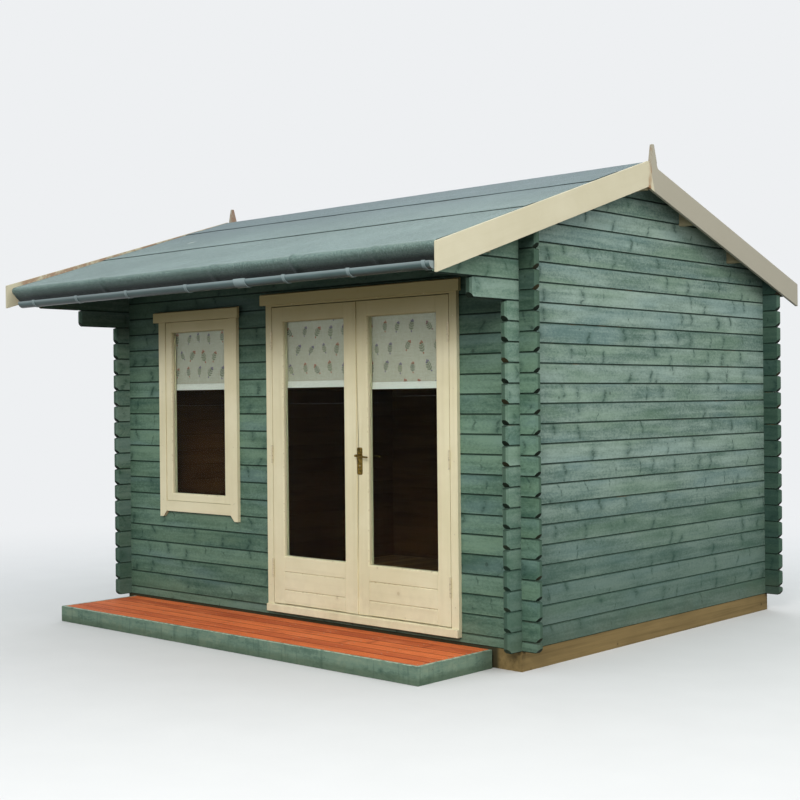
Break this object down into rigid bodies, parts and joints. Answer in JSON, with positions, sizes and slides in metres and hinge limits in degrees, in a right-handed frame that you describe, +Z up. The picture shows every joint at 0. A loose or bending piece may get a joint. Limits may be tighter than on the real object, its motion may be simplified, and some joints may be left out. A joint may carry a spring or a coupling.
{
  "type": "log cabin summerhouse",
  "caption": "Square-log garden cabin with crossed corners, glazed double doors, a window, a felted pitched roof with a deep front eave, a gutter and a low deck.",
  "frame": {"origin": "on the ground below the centre of the walls' outline, on the underside of the middle bearer", "axes": "+Z up, +X to the right along the front wall, +Y from the doors to the back wall"},
  "size_m": [3.934, 3.9643, 3.053],
  "materials": {
    "log_stain": "satin green wood stain",
    "trim_paint": "cream wood paint",
    "bare_timber": "bare treated timber",
    "inside_timber": "bare spruce",
    "deck_stain": "red-brown deck stain",
    "fascia_stain": "green wood stain",
    "roof_felt": "green mineral felt",
    "glazing": "clear",
    "brass": "aged polish",
    "hinge_metal": "painted over",
    "gutter_plastic": "grey",
    "blind_cloth": "plain linen weave"
  },
  "bodies": {
    "cabin": {"floor_bearers": "bare_timber", "floor_boards": "inside_timber", "front_sill_log": "log_stain", "front_wall_under_window": "log_stain", "front_wall_left": "log_stain", "front_wall_middle": "log_stain", "front_wall_right": "log_stain", "front_wall_top": "log_stain", "back_wall": "log_stain", "left_gable_wall": "log_stain", "right_gable_wall": "log_stain", "ridge_beam": "trim_paint", "front_purlins": "trim_paint", "rear_purlins": "trim_paint", "front_roof_boards": "inside_timber", "rear_roof_boards": "inside_timber", "eaves_boards": "inside_timber", "front_felt_lower_sheet": "roof_felt", "front_felt_upper_sheet": "roof_felt", "rear_felt_lower_sheet": "roof_felt", "rear_felt_upper_sheet": "roof_felt", "ridge_felt": "roof_felt", "left_bargeboards": "trim_paint", "right_bargeboards": "trim_paint", "gutter": "gutter_plastic", "gutter_brackets": "gutter_plastic", "door_frame": "trim_paint", "door_sill": "trim_paint", "door_head_board": "trim_paint", "door_frame_hinges": "hinge_metal", "window_frame": "trim_paint", "window_head_board": "trim_paint", "window_sash": "trim_paint", "window_glass": "glazing", "window_blind": "blind_cloth", "deck_boards": "deck_stain", "deck_joists": "bare_timber", "deck_fascia": "fascia_stain"},
    "left_door": {"left_door_stiles": "trim_paint", "left_door_rails": "trim_paint", "left_door_glass": "glazing", "left_door_hinges": "hinge_metal", "left_door_blind": "blind_cloth"},
    "right_door": {"right_door_stiles": "trim_paint", "right_door_rails": "trim_paint", "right_door_glass": "glazing", "right_door_hinges": "hinge_metal", "right_door_blind": "blind_cloth", "door_cover_strip": "trim_paint", "lock_plates": "brass"},
    "door_handle": {"lever_handles": "brass"}
  },
  "joints": [
    {"name": "left_door_hinge", "type": "hinge", "parent": "cabin", "child": "left_door", "pos_m": [-0.1895, -1.466, 0.115], "axis": [0, 0, -1], "range_deg": [0, 115]},
    {"name": "right_door_hinge", "type": "hinge", "parent": "cabin", "child": "right_door", "pos_m": [1.3215, -1.466, 0.115], "axis": [0, 0, 1], "range_deg": [0, 115]},
    {"name": "handle_turn", "type": "hinge", "parent": "right_door", "child": "door_handle", "pos_m": [0.6005, -1.459, 1.173], "axis": [0, 1, 0], "range_deg": [0, 40], "stiffness_Nm_per_rad": 1.5, "springref_deg": -28.65}
  ]
}
